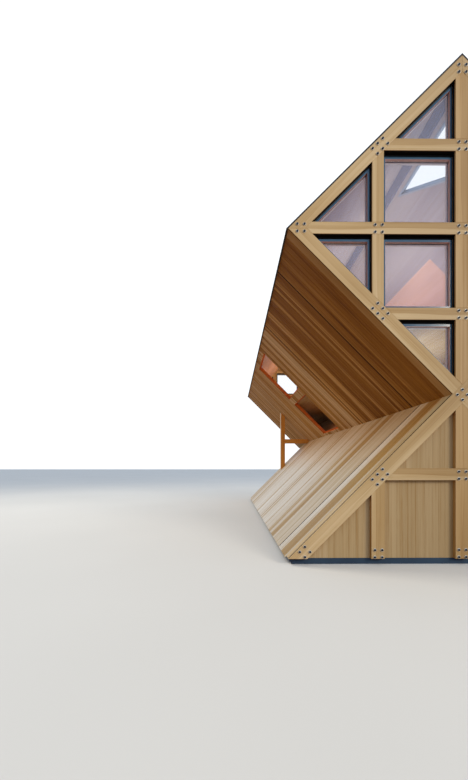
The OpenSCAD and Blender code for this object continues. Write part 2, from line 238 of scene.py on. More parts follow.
def merged_copy(node, name, arris):
    """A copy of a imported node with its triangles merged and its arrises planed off"""
    piece = bpy.data.objects.new(name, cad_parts[node].data.copy())
    bpy.context.collection.objects.link(piece)
    pick(piece)
    bpy.ops.object.mode_set(mode="EDIT")
    bpy.ops.mesh.select_all(action="SELECT")
    bpy.ops.mesh.customdata_custom_splitnormals_clear()
    bpy.ops.mesh.remove_doubles(threshold=0.00005)
    bpy.ops.mesh.dissolve_limited(angle_limit=math.radians(0.5))
    bpy.ops.object.mode_set(mode="OBJECT")
    plane = piece.modifiers.new("arris", "BEVEL")
    plane.width = arris
    plane.segments = 1
    plane.limit_method = "ANGLE"
    bpy.ops.object.modifier_apply(modifier="arris")
    piece.data.materials.clear()
    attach(piece, "root")
    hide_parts(node)
    return piece


def islands(mesh):
    """The vertices of each separate solid of a mesh"""
    parent = list(range(len(mesh.vertices)))

    def top(i):
        while parent[i] != i:
            parent[i] = parent[parent[i]]
            i = parent[i]
        return i

    for edge in mesh.edges:
        parent[top(edge.vertices[0])] = top(edge.vertices[1])
    groups = {}
    for i in range(len(parent)):
        groups.setdefault(top(i), []).append(i)
    return list(groups.values())


def planed(node, material, turn, arris=0.003, flank=None):
    """A packed timber with its arrises, its wood, and how far each point is from its middle line.

    The flank's own wood goes on the faces that look sideways or down, as a painted shade"""
    timber = merged_copy(node, "planed_" + node, arris)
    timber.data.materials.append(material)
    if flank:
        timber.data.materials.append(flank)
        for polygon in timber.data.polygons:
            normal = polygon.normal
            polygon.material_index = int(abs(normal.y) < 0.5 and normal.z < 0.3)
    across = timber.data.attributes.new("across", "FLOAT", "POINT").data
    direction = Vector(CROSSWISE[turn])
    for group in islands(timber.data):
        reach = {i: timber.data.vertices[i].co.dot(direction) for i in group}
        low, high = min(reach.values()), max(reach.values())
        for i, value in reach.items():
            across[i].value = (2 * value - low - high) / (high - low)
    return timber


PALE_TIMBER = [(0.0, srgb(180, 151, 107)), (0.5, srgb(194, 168, 126)), (1.0, srgb(205, 182, 144))]
DULL_TIMBER = [(0.0, srgb(160, 128, 84)), (0.5, srgb(172, 142, 98)), (1.0, srgb(184, 155, 112))]
# A darker, warmer copy of the timber wood for the faces that look sideways or down: painted shade
SHADED_FLANK_TIMBER = [(0.0, srgb(158, 114, 60)), (0.5, srgb(174, 130, 76)), (1.0, srgb(188, 146, 94))]
# The pale timber woods are painted paler toward the eaves and darker at the middle: painted light
wood_up = wood("wood_up", PALE_TIMBER, UP, heart=0.5, knots=0.08, painted_outward_light=True)
wood_up_dull = wood("wood_up_dull", DULL_TIMBER, UP, heart=0.4, knots=0.05)
wood_level = wood("wood_level", PALE_TIMBER, LEVEL, heart=1.0, knots=0.12, painted_outward_light=True)
wood_rising = wood("wood_rising", PALE_TIMBER, RISING, heart=0.3, knots=0.1, painted_outward_light=True)
wood_falling = wood("wood_falling", PALE_TIMBER, FALLING, heart=0.3, knots=0.08, painted_outward_light=True)
shaded_flank_up = wood("shaded_flank_up", SHADED_FLANK_TIMBER, UP, shine=0.15)
shaded_flank_level = wood("shaded_flank_level", SHADED_FLANK_TIMBER, LEVEL, shine=0.15)
shaded_flank_rising = wood("shaded_flank_rising", SHADED_FLANK_TIMBER, RISING, shine=0.15)
shaded_flank_falling = wood("shaded_flank_falling", SHADED_FLANK_TIMBER, FALLING, shine=0.15)

for node in ("front_left_rafter", "front_rising_diagonal", "back_left_rafter",
             "back_right_diagonal", "rear_wall_left_diagonal"):
    planed(node, wood_rising, RISING, flank=shaded_flank_rising)
for node in ("front_right_rafter", "front_falling_diagonal", "back_right_rafter",
             "back_left_diagonal", "rear_wall_right_diagonal"):
    planed(node, wood_falling, FALLING, flank=shaded_flank_falling)
for node in ("front_side_posts", "back_posts", "rear_wall_posts"):
    planed(node, wood_up, UP, flank=shaded_flank_up)
for node in ("front_cross_beams", "back_cross_beams", "rear_wall_beam"):
    planed(node, wood_level, LEVEL, flank=shaded_flank_level)
planed("front_centre_post", wood_up_dull, UP, flank=shaded_flank_up)


# The slopes: tongued softwood boards that run up and down the slope, nailed to framed panels.
# Each board has eased edges, its own width and its own tone, and stands a hair proud or shy of
# its neighbours. The panels behind them are lined inside with pale boards.

SKIN = 0.130
BOARD = 0.022
BOARD_WIDTH = 0.125
EASED_EDGE = 0.0022
FIT = 0.001

draw = random.Random(7602)


def new_block(**place):
    """A block to start a piece from, with nothing else selected"""
    pick()
    bpy.ops.mesh.primitive_cube_add(size=1, **place)
    return bpy.context.object


def own_copy(piece):
    """A copy with a mesh of its own"""
    copy = piece.copy()
    copy.data = piece.data.copy()
    bpy.context.collection.objects.link(copy)
    return copy


def board_pattern():
    """One board, modelled flat: X along it, Y across it, and its outer face at Z 0"""
    board = new_block(location=(0, 0, -BOARD / 2))
    board.dimensions = (1.0, BOARD_WIDTH, BOARD)
    bpy.ops.object.transform_apply()
    for edge in board.data.edges:
        a, b = (board.data.vertices[i].co for i in edge.vertices)
        edge.select = min(a.z, b.z) > -0.001 and abs(a.y - b.y) < 0.001
    bpy.ops.object.mode_set(mode="EDIT")
    bpy.ops.mesh.select_mode(type="EDGE")
    bpy.ops.mesh.bevel(offset=EASED_EDGE, segments=1)
    bpy.ops.object.mode_set(mode="OBJECT")
    board.data.attributes.new("tone", "FLOAT", "POINT")
    return board


pattern = board_pattern()


def cut_board(start, end, near, width, tone, mitre_end=0, mitre_start=0,
              thickness=BOARD, gap=FIT, face=0.0, ease=1.0):
    """A copy of the pattern, cut to its length and width, with a level mitre where it ends.

    It starts at near, leaves a gap on either hand and has its outer face at the height of face.
    Ease is how much of the pattern's eased edges it keeps"""
    board = own_copy(pattern)
    for vertex in board.data.vertices:
        along, across, height = vertex.co
        if height > -BOARD / 2:
            depth, inset = 0.0, ease * (abs(across) - BOARD_WIDTH / 2)
            z = face + ease * height if height < -EASED_EDGE / 4 else face
        else:
            depth, inset, z = thickness, 0.0, face - thickness
        x = end - mitre_end * depth if along > 0 else start + mitre_start * depth
        flank = math.copysign(width / 2 - gap + inset, across)
        vertex.co = (x, near + width / 2 + flank, z)
    for item in board.data.attributes["tone"].data:
        item.value = tone
    return board


def widths(length, narrow, wide):
    """Board widths between narrow and wide that fill a length exactly"""
    made = []
    while sum(made) < length - wide:
        made.append(draw.uniform(narrow, wide))
    made.append(length - sum(made))
    if made[-1] < narrow:
        made[-2:] = [sum(made[-2:]) / 2] * 2
    return [w * length / sum(made) for w in made]


def joined(pieces, name):
    pick(*pieces)
    bpy.ops.object.join()
    whole = bpy.context.object
    whole.name = name
    whole.data.name = name
    return whole


def panel_core(start, end, near, far, low, high, mitre_end=0, mitre_start=0):
    """The framed panel behind the boards, as one block with its mitre"""
    core = new_block()
    core.data.attributes.new("tone", "FLOAT", "POINT")
    for vertex in core.data.vertices:
        z = high if vertex.co.z > 0 else low
        x = end + mitre_end * z if vertex.co.x > 0 else start - mitre_start * z
        vertex.co = (x, far if vertex.co.y > 0 else near, z)
    return core


def cut_out(panel, start, end, near, far):
    """Saws a window hole through a panel"""
    saw = new_block()
    for vertex in saw.data.vertices:
        x, y, z = vertex.co
        vertex.co = (end if x > 0 else start, far if y > 0 else near, z)
    panel_cut = panel.modifiers.new("window", "BOOLEAN")
    panel_cut.operation = "DIFFERENCE"
    panel_cut.solver = "EXACT"
    panel_cut.object = saw
    pick(panel)
    bpy.ops.object.modifier_apply(modifier="window")
    bpy.data.objects.remove(saw)


def laid_at(side, course, width):
    """Where a board starts on its flat panel. The right panel is laid from its other end"""
    return FRONT + course if side == "left" else -(FRONT + course) - width


def on_slope(side, boards, strips, core, finishes, name, turn):
    """Fixes boards and strips on their panel and turns it, in degrees, onto its slope at the waist.

    The finishes are the boards' wood first and the strips' dark finish last, for the dark joints
    and the painted shadow lines. The right side is the left one turned round the middle of the
    cabin"""
    for material in finishes:
        core.data.materials.append(material)
    layers = [core]
    for row, material in ((boards, finishes[0]), (strips, finishes[-1])):
        layer = joined(row, "layer")
        layer.data.materials.append(material)
        layers.append(layer)
    whole = joined(layers, name)
    right = side == "right"
    whole.rotation_euler = (0, math.radians(turn), math.pi if right else 0)
    whole.location = (NOTCH if right else -NOTCH, 0, BASE + WAIST)
    bpy.ops.object.transform_apply()
    return whole


# Undersides of the upper storey: reddish brown boards, with two window holes in one band. The
# boards are laid in courses, with a dark joint strip between some of them. A thin dark strip on the
# gable timber, just behind its face, paints the shadow line at its arris.
BAND = (5.500, 7.320)
UNDER_LENGTH = WAIST / SLOPE
LOWER_HOLE = (0.110, 1.780)
UPPER_HOLE = (2.080, UNDER_LENGTH - 0.190)
COURSES = (  # start, end, boards, width of the joint strip before them
    (TIMBER_DEPTH, 1.19, 8, 0.0), (1.19, 3.67, 20, 0.028), (3.67, BAND[0], 15, 0.036),
    (BAND[0], BAND[1], 15, 0.0), (BAND[1], 12.8, 44, 0.0),
)
ALIKE = 0.9  # metres from the gable timber in which the boards are much alike
PALER, PALER_FOR = 0.075, 7.0  # how much paler they get with each metre, and for how many

UNDER_TONES = [(0.0, srgb(130, 80, 20)), (0.35, srgb(156, 103, 36)),
               (0.65, srgb(194, 144, 82)), (1.0, srgb(208, 172, 128))]
UNDER_VEINS = [(0.0, (0.46, 0.36, 0.26)), (0.35, (0.82, 0.76, 0.66)),
               (0.6, (1.0, 1.0, 1.0)), (1.0, (1.25, 1.28, 1.3))]
wood_under = {}
for side, turn in (("left", FALLING), ("right", RISING)):
    wood_under[side] = wood("wood_underside_" + side, UNDER_TONES, turn, "tone", UNDER_VEINS,
                            knots=0.06, rough=0.6, shine=0.12)
LINING_TONES = [(0.0, srgb(208, 184, 162)), (1.0, srgb(222, 200, 180))]
LINING_VEINS = [(0.0, (0.92, 0.88, 0.82)), (1.0, (1.0, 1.0, 1.0))]
wood_lining = wood("wood_lining", LINING_TONES, ALONG, veins=LINING_VEINS, rough=0.62)
REVEAL_TONES = [(0.0, srgb(200, 90, 18)), (1.0, srgb(216, 112, 34))]
wood_reveal = wood("wood_reveal", REVEAL_TONES, ALONG, rough=0.5)


def drifting(name, spots, dark, light, rough, detail=2.0, metal=0.0, shine=0.5):
    """A finish whose colour drifts between dark and light in soft spots, so many to the metre.

    Rough is one value, or a pair between which the gloss drifts with the colour"""
    material, tree, shader = surface(name)
    cloud = noise(tree, own_place(tree), (spots, spots, spots), detail)
    colour = ramp(tree, cloud, [(0.3, srgb(*dark)), (0.7, srgb(*light))])
    if isinstance(rough, tuple):
        rough = between(tree, cloud, 0.0, 1.0, *rough)
    feed(tree, shader, {"Base Color": colour, "Roughness": rough, "Metallic": metal,
                        "Specular IOR Level": shine})
    return material


# The dark finish of the joint strips, and of the thin strips on the gable timbers that paint their
# shadow line
membrane_and_shadow_line = drifting("black_membrane_and_shadow_line", 30, (38, 21, 10), (50, 29, 14), 0.8, shine=0.1)
STRIP_PROUD, STRIP_EASE = 0.001, 0.2
# The thin strip that paints the shadow line on a gable timber: its thickness, how proud it stands,
# how short of the ends
SHADOW_LINE, SHADOW_LINE_PROUD, SHADOW_LINE_END = 0.0012, 0.0015, 0.012


def joint_strip(start, end, side, course, width, thickness, mitre_end=0):
    """A dark strip in the joint between two boards, just proud of their faces"""
    return cut_board(start, end, laid_at(side, course, width), width, 0.0, mitre_end=mitre_end,
                     thickness=thickness, gap=0.0, face=STRIP_PROUD, ease=STRIP_EASE)


def shadow_line_strip(start, end, side, course, width):
    """A thin dark strip on a gable timber, short of both its ends, that paints the shadow line at
    its arris
    """
    near = laid_at(side, course, width)
    return cut_board(start + SHADOW_LINE_END, end - SHADOW_LINE_END, near, width, 0.0,
                     thickness=SHADOW_LINE, gap=0.0, face=SHADOW_LINE_PROUD, ease=STRIP_EASE)


def underside(side):
    """Lays the boards of one underside from the gable timber to the back one"""
    boards = []
    strips = [shadow_line_strip(0.0, UNDER_LENGTH, side, 0.008, 0.012)]
    for start, end, count, joint in COURSES:
        course = start
        if joint:
            strips.append(joint_strip(0.0, UNDER_LENGTH - 0.002, side, course, joint, BOARD, 1))
            course += joint
        spans = [(0.0, UNDER_LENGTH)]
        if start == BAND[0]:
            spans = [(0.0, LOWER_HOLE[0]), (LOWER_HOLE[1], UPPER_HOLE[0]),
                     (UPPER_HOLE[1], UNDER_LENGTH)]
        share = [draw.uniform(0.75, 1.25) for _ in range(count)]
        tone = 0.35
        for part in share:
            width = part * (end - start - joint) / sum(share)
            depth = course - TIMBER_DEPTH
            if depth < ALIKE:
                tone = draw.uniform(0.22, 0.34)
            elif draw.random() < 0.6:
                tone = draw.uniform(0.0, 0.2) if tone > 0.3 else draw.uniform(0.4, 0.65)
            own_tone = tone + draw.uniform(-0.05, 0.05) + PALER * min(depth, PALER_FOR)
            rise = draw.uniform(-0.0012, 0.0)
            for low, high in spans:
                boards.append(cut_board(low, high, laid_at(side, course, width), width,
                                        min(own_tone, 1.0), int(high == UNDER_LENGTH), face=rise))
            course += width
    core = panel_core(0.0, UNDER_LENGTH, FRONT + TIMBER_DEPTH, BACK - TIMBER_DEPTH,
                      -SKIN, -BOARD - FIT, mitre_end=1)
    near = laid_at(side, BAND[0], BAND[1] - BAND[0])
    far = near + BAND[1] - BAND[0]
    for hole in (LOWER_HOLE, UPPER_HOLE):
        cut_out(core, hole[0], hole[1], near, far)
    for face in core.data.polygons:
        x, y, z = face.center
        inside = 0.05 < x < UNDER_LENGTH - 0.15 and near - 0.01 < y < far + 0.01
        if face.normal.z < -0.9:
            face.material_index = 1
        elif inside and abs(face.normal.z) < 0.1:
            face.material_index = 2
        elif face.normal.z > 0.9:
            face.material_index = 3
    finishes = (wood_under[side], wood_lining, wood_reveal, membrane_and_shadow_line)
    whole = on_slope(side, boards, strips, core, finishes, side + "_underside_boards", -135)
    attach(whole, "root")
    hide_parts(side + "_underside")


underside("left")
underside("right")

# Lower roofs: pale weathered softwood boards on the tent-shaped storey, silver below, and painted
# golden brown toward the waist, a painted shade under the upper storey. They run past the plinth
# as a drip.
DRIP = 0.024
LOWER_BOARD = 0.030
LOWER_LENGTH = (HALF_WIDTH + DRIP - NOTCH) / SLOPE
FOOT = -(HALF_WIDTH - NOTCH) / SLOPE
WALL_SETBACK = 0.070
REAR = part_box("rear_wall_panels")[1].y + WALL_SETBACK
# The pale, golden and whiter boards next to the gable, as (width, tone). None is a joint strip
GABLE_BOARDS = [(0.080, 0.45), (0.125, 0.03), (0.125, 0.06), (0.120, 0.10), (0.140, 0.74),
                (0.140, 0.82), (0.032, None), (0.160, 0.46)]
LOWER_TONES = [(0.0, srgb(163, 125, 58)), (0.2, srgb(181, 150, 98)), (0.45, srgb(196, 178, 150)),
               (0.7, srgb(208, 196, 180)), (1.0, srgb(222, 217, 209))]
LOWER_VEINS = [(0.0, (0.70, 0.60, 0.44)), (0.3, (0.90, 0.85, 0.77)),
               (0.5, (0.98, 0.97, 0.95)), (1.0, (1.05, 1.06, 1.07))]


def so_far(material):
    """A material's nodes, its shader, and the colour that it has so far"""
    shader = material.node_tree.nodes["Principled BSDF"]
    return material.node_tree, shader, shader.inputs["Base Color"].links[0].from_socket


def painted_shade_above(material, low, high, shade):
    """Boards are painted deeper above a height, a painted shade where the upper storey overhangs
    them
    """
    tree, shader, unshaded_colour = so_far(material)
    place = own_place(tree)
    wave = times(tree, noise(tree, place, (0.3, 5, 0.3)), 0.25)
    share = between(tree, plus(tree, part_of(tree, place, "Z"), wave), low, high)
    colour = mixed(tree, share, unshaded_colour, tinted(tree, unshaded_colour, shade))
    feed(tree, shader, {"Base Color": colour})


wood_lower = {}
for side, turn in (("left", RISING), ("right", FALLING)):
    wood_lower[side] = wood("wood_lower_roof_" + side, LOWER_TONES, turn, "tone", LOWER_VEINS,
                            rough=0.5)
    # Painted shade: the boards are painted deeper and browner toward the waist, under the upper
    # storey
    painted_shade_above(wood_lower[side], BASE + 0.55 * WAIST, BASE + WAIST, (0.86, 0.62, 0.40, 1))


def lower_roof(side):
    """Lays the boards of one lower roof: most of them silver, one in five golden"""
    laid, course = list(GABLE_BOARDS), sum(width for width, _ in GABLE_BOARDS)
    for width in widths(REAR - FRONT - 2 * TIMBER_DEPTH - course, 0.05, 0.19):
        front = min(course, 4.0)
        # Boards far along are painted a little darker, a painted shade under the overhang there
        silver = 0.46 + 0.09 * front - 0.05 * max(course - 6.0, 0.0) + draw.uniform(-0.16, 0.12)
        golden = draw.uniform(0.05, 0.25) + 0.03 * front
        laid.append((width, golden if draw.random() < 0.2 else silver))
        course += width
    strips = [shadow_line_strip(FOOT, 0.0, side, 0.016, 0.028)]
    boards, course = [], TIMBER_DEPTH
    for width, tone in laid:
        if tone is None:
            strips.append(joint_strip(FOOT, -0.002, side, course, width, LOWER_BOARD))
        else:
            rise = draw.uniform(-0.0012, 0.0)
            boards.append(cut_board(-LOWER_LENGTH, 0.0, laid_at(side, course, width), width, tone,
                                    mitre_start=1, thickness=LOWER_BOARD, face=rise))
        course += width
    length = REAR - FRONT - 2 * TIMBER_DEPTH
    near = laid_at(side, TIMBER_DEPTH, length)
    core = panel_core(FOOT, 0.0, near, near + length, -SKIN, -LOWER_BOARD - FIT, mitre_start=1)
    for face in core.data.polygons:
        if abs(face.normal.z) > 0.9:
            face.material_index = 1 if face.normal.z < 0 else 2
    finishes = (wood_lower[side], wood_lining, membrane_and_shadow_line)
    whole = on_slope(side, boards, strips, core, finishes, side + "_lower_roof_boards", -45)
    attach(whole, "root")
    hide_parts(side + "_lower_roof")


lower_roof("left")
lower_roof("right")


# The boarded panels of the lower storey: upright planed boards, set back between the timbers of
# the front gable and of the rear wall, and cut to the slope of the diagonals.

HALF_PORCH_POST = 0.100
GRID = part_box("porch_posts")[1].x - HALF_PORCH_POST
HALF_BEAM = 0.1025
WALL_BOARD = 0.024
WALL_PANEL = 0.060
WALL_FIT = 0.0003
WALL_TONES = [(0.0, srgb(176, 152, 114)), (0.5, srgb(181, 158, 121)), (1.0, srgb(186, 164, 129))]
WALL_VEINS = [(0.0, (0.80, 0.70, 0.54)), (0.38, (0.96, 0.94, 0.90)), (1.0, (1.06, 1.06, 1.06))]
# The wall boards are painted paler toward the eaves and darker at the middle: painted light
wood_wall = wood("wood_wall", WALL_TONES, UP, "tone", WALL_VEINS, knots=0.03, rough=0.6,
                 painted_outward_light=True)


def wall_bay(left, right, bottom, top, count):
    """Upright boards of one bay, flat and cut along the diagonal's lower edge.

    X is the height above the plinth, and Y the way outward from the middle of the wall"""
    boards = []
    share = [draw.uniform(0.9, 1.1) for _ in range(count)]
    course = left
    for part in share:
        width = part * (right - left) / sum(share)
        boards.append(cut_board(bottom, top, course, width, draw.random(), thickness=WALL_BOARD,
                                gap=WALL_FIT, face=draw.uniform(-0.0006, 0.0), ease=0.4))
        course += width
    core = panel_core(bottom, top, left, right, -WALL_PANEL, -WALL_BOARD - 0.0005)
    bay = joined([core] + boards, "bay")
    edge = HALF_WIDTH - ACROSS - WALL_FIT
    bpy.ops.object.mode_set(mode="EDIT")
    bpy.ops.mesh.select_all(action="SELECT")
    bpy.ops.mesh.bisect(plane_co=(edge, 0, 0), plane_no=(1, 1, 0), clear_outer=True, use_fill=True)
    bpy.ops.object.mode_set(mode="OBJECT")
    return bay


def wall_panels(name, node, face, outward):
    """The six bays of one wall: three on each side of the centre post"""
    bays = []
    for side in (-1, 1):
        stand = Matrix(((0, side, 0, 0), (0, 0, outward, face), (1, 0, 0, BASE), (0, 0, 0, 1)))
        for left, right, bottom, top, count in (
            (HALF_POST, GRID - HALF_POST, GRID + HALF_BEAM, WAIST, 10),
            (HALF_POST, GRID - HALF_POST, 0.0, GRID - HALF_BEAM - WALL_FIT, 10),
            (GRID + HALF_POST, HALF_WIDTH - ACROSS, 0.0, GRID, 9),
        ):
            bay = wall_bay(left + WALL_FIT, right - WALL_FIT, bottom + WALL_FIT, top, count)
            bay.matrix_world = stand
            bpy.ops.object.transform_apply()
            if stand.determinant() < 0:
                bpy.ops.object.mode_set(mode="EDIT")
                bpy.ops.mesh.select_all(action="SELECT")
                bpy.ops.mesh.flip_normals()
                bpy.ops.object.mode_set(mode="OBJECT")
            bays.append(bay)
    wall = joined(bays, name)
    wall.data.materials.clear()
    wall.data.materials.append(wood_wall)
    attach(wall, "root")
    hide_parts(node)


wall_panels("front_wall_boards", "front_panels", FRONT + WALL_SETBACK, -1)
wall_panels("rear_wall_boards", "rear_wall_panels", REAR - WALL_SETBACK, 1)
bpy.data.objects.remove(pattern)


# The bolts of the lap joints: domed steel heads on grey galvanised washers, four to a joint, and
# six where a rafter or diagonal meets a beam and a post. They are modelled once and copied.

steel = drifting("bolt_steel", 90, (30, 33, 40), (52, 56, 64), (0.35, 0.6), 3.0, metal=0.6)
zinc = drifting("washer_zinc", 60, (196, 190, 180), (212, 208, 200), (0.45, 0.65), metal=0.2)


def edit_faces(piece, chosen):
    """Goes into edit mode with those faces selected whose normals are chosen"""
    for polygon in piece.data.polygons:
        polygon.select = chosen(polygon.normal)
    bpy.ops.object.mode_set(mode="EDIT")
    bpy.ops.mesh.select_mode(type="FACE")


def turned_disc(sides, radius, thickness, foot, material, *insets):
    """A disc that stands at the height of foot, with insets (rim, rise) in its upper face"""
    pick()
    bpy.ops.mesh.primitive_cylinder_add(vertices=sides, radius=radius, depth=thickness,
                                        location=(0, 0, foot + thickness / 2))
    disc = bpy.context.object
    edit_faces(disc, lambda normal: normal.z > 0.9)
    for rim, rise in insets:
        bpy.ops.mesh.inset(thickness=rim, depth=rise)
    bpy.ops.object.mode_set(mode="OBJECT")
    disc.data.materials.append(material)
    return disc


washer = turned_disc(20, 0.027, 0.005, 0.0, zinc, (0.003, 0.001))
head = turned_disc(12, 0.018, 0.012, 0.006, steel, (0.004, 0.004), (0.007, 0.002))
bolt = joined([washer, head], "bolt")
bpy.ops.object.transform_apply()

RIDGE = 2 * WAIST + HALF_WIDTH
EAVES_BEAM = 2 * WAIST + 0.015
COLLAR = 2 * WAIST + GRID
MIDDLE = 2 * WAIST - GRID
STEP = 0.1235
SQUARE = [(a * STEP / 2, b * STEP / 2) for b in (-1, 1) for a in (-1, 1)]
DIAMOND = [((a - b) * SLOPE, (a + b) * SLOPE) for a, b in SQUARE]


def six(turn):
    """Three rows of two bolts, in line with a slope that rises (1) or falls (-1) to the right"""
    flat = [(a * STEP, b * STEP / 2) for a in (-1, 0, 1) for b in (-1, 1)]
    return [((a - turn * b) * SLOPE, (turn * a + b) * SLOPE) for a, b in flat]


def joints(upper, lower):
    """Bolt places (x, z) of a gable. Each group of bolts has its middle near a lap joint's"""
    groups = []
    if upper:
        for height in (RIDGE - 0.236, COLLAR - 0.019, EAVES_BEAM - 0.020, MIDDLE - 0.010):
            groups.append((0, height, SQUARE))
        groups.append((0, WAIST - 0.012, DIAMOND))
    if lower:
        groups += [(0, GRID - 0.015, SQUARE), (0, 0.095, SQUARE)]
    for side in (-1, 1):
        if upper:
            groups += [
                (side * (HALF_WIDTH - 0.215), EAVES_BEAM - 0.004, SQUARE),
                (side * (GRID - 0.011), EAVES_BEAM - 0.012, SQUARE),
                (side * (GRID - 0.034), COLLAR - 0.038, six(-side)),
                (side * (GRID - 0.038), MIDDLE + 0.042, six(side)),
            ]
        if lower:
            groups += [
                (side * (GRID - 0.031), GRID - 0.042, six(-side)),
                (side * (GRID - 0.005), 0.093, SQUARE),
                (side * (HALF_WIDTH - 0.284), 0.124, DIAMOND),
            ]
    return [(x + a, z + b) for x, z, group in groups for a, b in group]


def bolts(name, places, face, outward):
    """Turns a copy of the bolt to each place on the face of a gable"""
    copies = []
    for x, z in places:
        copy = own_copy(bolt)
        turn = Matrix.Rotation(draw.uniform(0, 1), 4, "Z")
        turn = Matrix.Rotation(math.radians(90 * -outward), 4, "X") @ turn
        copy.data.transform(Matrix.Translation((x, face, BASE + z)) @ turn)
        copies.append(copy)
    row = joined(copies, name)
    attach(row, "root")


bolts("front_bolts", joints(True, True), FRONT, -1)
bolts("back_bolts", joints(True, False), BACK, 1)
bolts("rear_wall_bolts", joints(False, True), REAR, 1)
bpy.data.objects.remove(bolt)


# The gable windows: satin blue-grey frames set back behind a black groove, with reddish wood
# before the glass and pale wood behind it. Black strips line the heads and jambs of the openings,
# and a black piece closes each head under a beam: the black of the grooves, strips and heads is
# painted shade in the reveals. The clear glass has a faint lilac colour that turns pale blue higher
# up, a painted reflection.

paint = drifting("frame_paint", 5, (44, 70, 92), (54, 82, 106), (0.12, 0.20), 4.0, shine=0.9)
# Black that stands for the deep shade in the window grooves, reveals and heads: painted shade
shade_black = drifting("painted_shade_black", 12, (11, 11, 12), (17, 17, 19), (0.6, 0.75), 3.0, shine=0.2)
STOP_TONES = [(0.0, srgb(172, 130, 124)), (1.0, srgb(188, 146, 138))]
wood_stop = wood("wood_stop", STOP_TONES, UP, rough=0.5)
INNER_TONES = [(0.0, srgb(216, 208, 208)), (1.0, srgb(228, 220, 219))]
wood_inner = wood("wood_inner", INNER_TONES, UP, veins=LINING_VEINS, rough=0.55)

WINDOW_SETBACK = 0.068
GLASS_FACE = WINDOW_SETBACK + 0.042
GROOVE_FLOOR = WINDOW_SETBACK + 0.024


def gable_frames(node, name, face):
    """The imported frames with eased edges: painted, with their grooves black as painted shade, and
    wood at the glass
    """
    frames = merged_copy(node, name, 0.0015)
    for material in (paint, shade_black, wood_stop, wood_inner):
        frames.data.materials.append(material)
    middle_of = {}
    for group in islands(frames.data):
        points = [frames.data.vertices[i].co for i in group]
        middle = sum(points, Vector()) / len(points)
        for i in group:
            middle_of[i] = middle
    for polygon in frames.data.polygons:
        depth = abs(polygon.center.y - face)
        inwards = (middle_of[polygon.vertices[0]] - polygon.center).dot(polygon.normal) > 0
        if abs(polygon.normal.y) > 0.9:
            polygon.material_index = int(abs(depth - GROOVE_FLOOR) < 0.002)
        elif inwards:
            polygon.material_index = 2 if depth < GLASS_FACE else 3
        elif depth < GROOVE_FLOOR:
            polygon.material_index = 1


def repaint(material, *nodes):
    """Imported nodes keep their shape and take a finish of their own"""
    for node in nodes:
        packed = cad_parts[node]
        packed.data.materials.clear()
        packed.data.materials.append(material)


gable_frames("front_window_frames", "front_frames", FRONT)
gable_frames("back_window_frames", "back_frames", BACK)
# The black head pieces under the beams are painted shade
repaint(shade_black, "front_window_heads", "back_window_heads")

RAFTER = 0.200
UNDER_RAFTER = RIDGE - RAFTER / SLOPE
HALF_SIDE_POST = 0.1
BAY_END, OUTER_BAY = GRID - HALF_SIDE_POST, GRID + HALF_SIDE_POST
OVER_COLLAR, UNDER_COLLAR = COLLAR + HALF_BEAM, COLLAR - HALF_BEAM
OVER_EAVES, UNDER_EAVES = EAVES_BEAM + HALF_BEAM, EAVES_BEAM - HALF_BEAM
OVER_MIDDLE, UNDER_MIDDLE = MIDDLE + HALF_BEAM, MIDDLE - HALF_BEAM
# The sides of the window holes that carry a strip, as (x, z) in the right half. Each runs from
# its first point to its second with the window on its right hand.
WINDOW_HEADS = [
    ((HALF_POST, UNDER_RAFTER - HALF_POST), (UNDER_RAFTER - OVER_COLLAR, OVER_COLLAR)),
    ((OUTER_BAY, UNDER_RAFTER - OUTER_BAY), (UNDER_RAFTER - OVER_EAVES, OVER_EAVES)),
    ((HALF_POST, UNDER_COLLAR), (BAY_END, UNDER_COLLAR)),
    ((HALF_POST, UNDER_EAVES), (BAY_END, UNDER_EAVES)),
    ((OUTER_BAY, UNDER_EAVES), (UNDER_EAVES - HALF_WIDTH, UNDER_EAVES)),
    ((HALF_POST, UNDER_MIDDLE), (UNDER_MIDDLE - HALF_WIDTH, UNDER_MIDDLE)),
]
WINDOW_JAMBS = [
    ((HALF_POST, OVER_COLLAR), (HALF_POST, UNDER_RAFTER - HALF_POST)),
    ((HALF_POST, OVER_EAVES), (HALF_POST, UNDER_COLLAR)),
    ((BAY_END, UNDER_COLLAR), (BAY_END, OVER_EAVES)),
    ((OUTER_BAY, OVER_EAVES), (OUTER_BAY, UNDER_RAFTER - OUTER_BAY)),
    ((HALF_POST, OVER_MIDDLE), (HALF_POST, UNDER_EAVES)),
    ((BAY_END, UNDER_EAVES), (BAY_END, BAY_END + HALF_WIDTH)),
    ((OUTER_BAY, OUTER_BAY + HALF_WIDTH), (OUTER_BAY, UNDER_EAVES)),
    ((HALF_POST, HALF_POST + HALF_WIDTH), (HALF_POST, UNDER_MIDDLE)),
]
STRIP = 0.002
STRIP_BACK = WINDOW_SETBACK - 0.002
STRIP_SHORT = 0.014
STRIP_FIT = 0.0004
STRIP_FOLD = (0, -0.002, -0.005)
HEAD_FRONT, JAMB_FRONT = 0.010, 0.030


